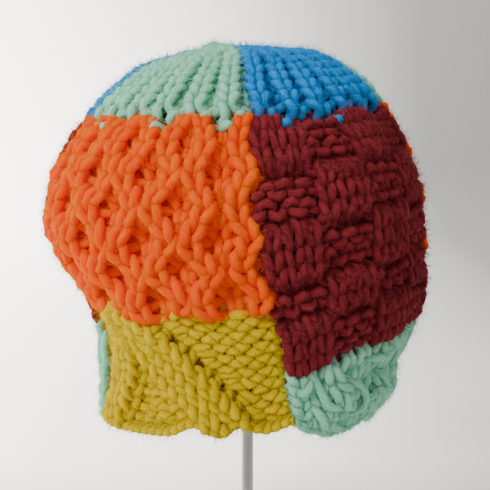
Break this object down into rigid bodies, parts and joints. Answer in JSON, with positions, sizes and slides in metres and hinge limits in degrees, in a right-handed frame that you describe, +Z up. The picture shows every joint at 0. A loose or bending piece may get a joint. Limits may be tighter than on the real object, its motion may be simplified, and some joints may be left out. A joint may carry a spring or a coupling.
{
  "type": "patchwork beanie on a display stand",
  "caption": "Chunky knitted beanie sewn from honeycomb, basketweave and cable panels, held by its crown on a post stand with a round base.",
  "frame": {"origin": "centre of the stand's flat underside, on the post's axis", "axes": "+Z up along the post, -Y towards the beanie's front, +X towards the side where it sits higher"},
  "size_m": [0.1765, 0.1734, 0.2468],
  "materials": {
    "mint_wool": "matte bulky wool yarn, lightly twisted, with a soft halo",
    "blue_wool": "matte bulky wool yarn, lightly twisted, with a soft halo",
    "orange_wool": "matte bulky wool yarn, lightly twisted, with a soft halo",
    "maroon_wool": "matte bulky wool yarn, lightly twisted, with a soft halo",
    "yellow_wool": "matte bulky wool yarn, lightly twisted, with a soft halo",
    "white_painted_steel": "semi-gloss stoved enamel on steel plate",
    "satin_steel": "satin drawn rod",
    "grey_plastic": "matte moulded"
  },
  "bodies": {
    "root": {"front_crown": "mint_wool", "front_body": "orange_wool", "front_brim": "yellow_wool", "right_crown": "blue_wool", "right_body": "maroon_wool", "right_brim": "mint_wool", "back_crown": "mint_wool", "back_body": "orange_wool", "back_brim": "yellow_wool", "left_crown": "blue_wool", "left_body": "maroon_wool", "left_brim": "mint_wool", "crown_gather": "mint_wool", "stand_rest": "grey_plastic", "stand_post": "satin_steel", "stand_base": "white_painted_steel"}
  },
  "joints": []
}
